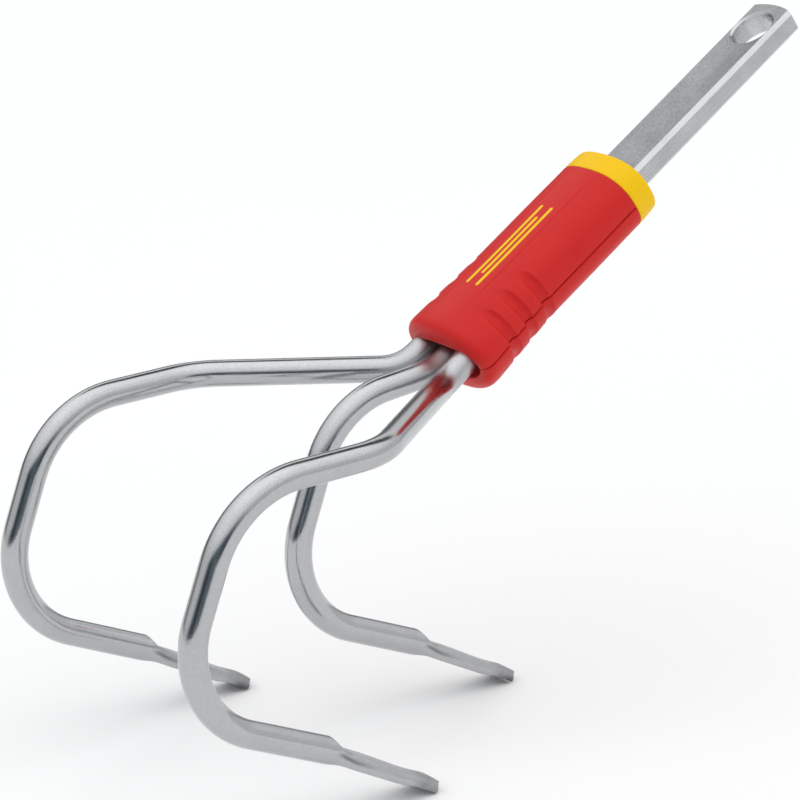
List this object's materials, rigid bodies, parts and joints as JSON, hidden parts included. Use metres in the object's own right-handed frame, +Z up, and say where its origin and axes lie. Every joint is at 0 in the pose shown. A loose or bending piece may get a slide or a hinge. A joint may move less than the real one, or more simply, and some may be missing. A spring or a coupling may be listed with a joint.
{
  "type": "hand cultivator head",
  "caption": "Tined cultivator head for a handle system: bent steel rod tines with flat blades, a plastic sleeve, an end collar and a flat tang with a latch hole.",
  "frame": {"origin": "on the ground, midway along and across the space that the standing head takes up", "axes": "+Z up, +X towards the handle, +Y towards the left tine; the head is symmetric about the XZ plane"},
  "size_m": [0.2899, 0.1236, 0.2151],
  "materials": {
    "tang_steel": "dull zinc plate, finely grained",
    "plated_steel": "bright plate, worn at the blade tips",
    "weld_metal": "as welded, then plated",
    "red_plastic": "satin moulded",
    "yellow_plastic": "satin moulded"
  },
  "bodies": {
    "root": {"tang": "tang_steel", "left_tine": "plated_steel", "centre_tine": "plated_steel", "right_tine": "plated_steel", "butt_welds": "weld_metal", "tine_welds": "weld_metal", "upper_shell": "red_plastic", "lower_shell": "red_plastic", "end_collar": "yellow_plastic"}
  },
  "joints": []
}
